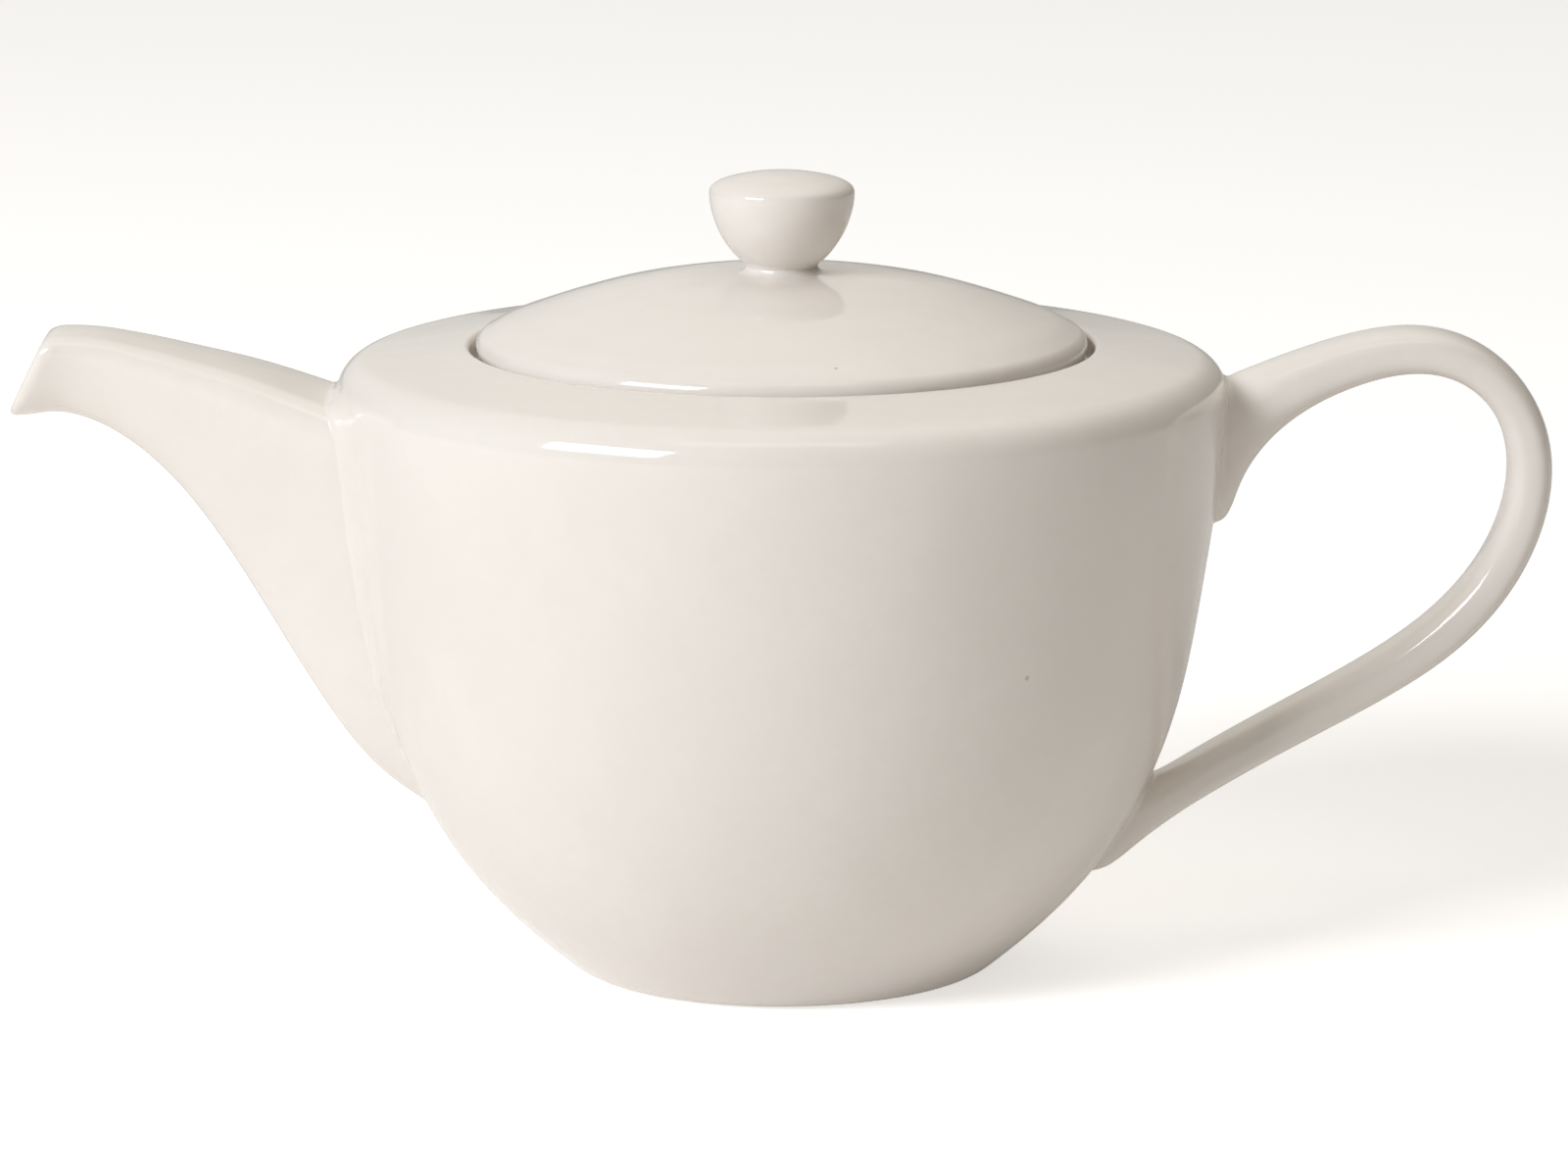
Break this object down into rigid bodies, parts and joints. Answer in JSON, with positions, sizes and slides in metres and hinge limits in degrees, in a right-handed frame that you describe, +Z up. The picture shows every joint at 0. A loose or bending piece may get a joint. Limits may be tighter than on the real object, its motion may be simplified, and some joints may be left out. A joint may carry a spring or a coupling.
{
  "type": "teapot",
  "caption": "Round glazed porcelain teapot with a short open spout, a strap handle and a lift-off domed lid with a flared knob; the infuser holes are pierced through the wall behind the spout",
  "frame": {"origin": "On the table, at the vertical axis of the round vessel, which is within a millimetre of the middle of the footprint", "axes": "+Z up; the handle points along +X and the spout along -X; the XZ plane is the mirror plane of the pot"},
  "size_m": [0.2774, 0.1596, 0.1442],
  "materials": {
    "body_glaze": "gloss",
    "spout_glaze": "gloss",
    "handle_glaze": "gloss",
    "lid_glaze": "gloss",
    "knob_glaze": "gloss"
  },
  "bodies": {
    "pot": {"pot_body": "body_glaze", "spout": "spout_glaze", "handle": "handle_glaze"},
    "loose_lid": {"lid": "lid_glaze", "lid_knob": "knob_glaze"}
  },
  "joints": [
    {"name": "lid_lift", "type": "slide", "parent": "pot", "child": "loose_lid", "axis": [0, 0, 1], "range_m": [0, 0.075]}
  ]
}
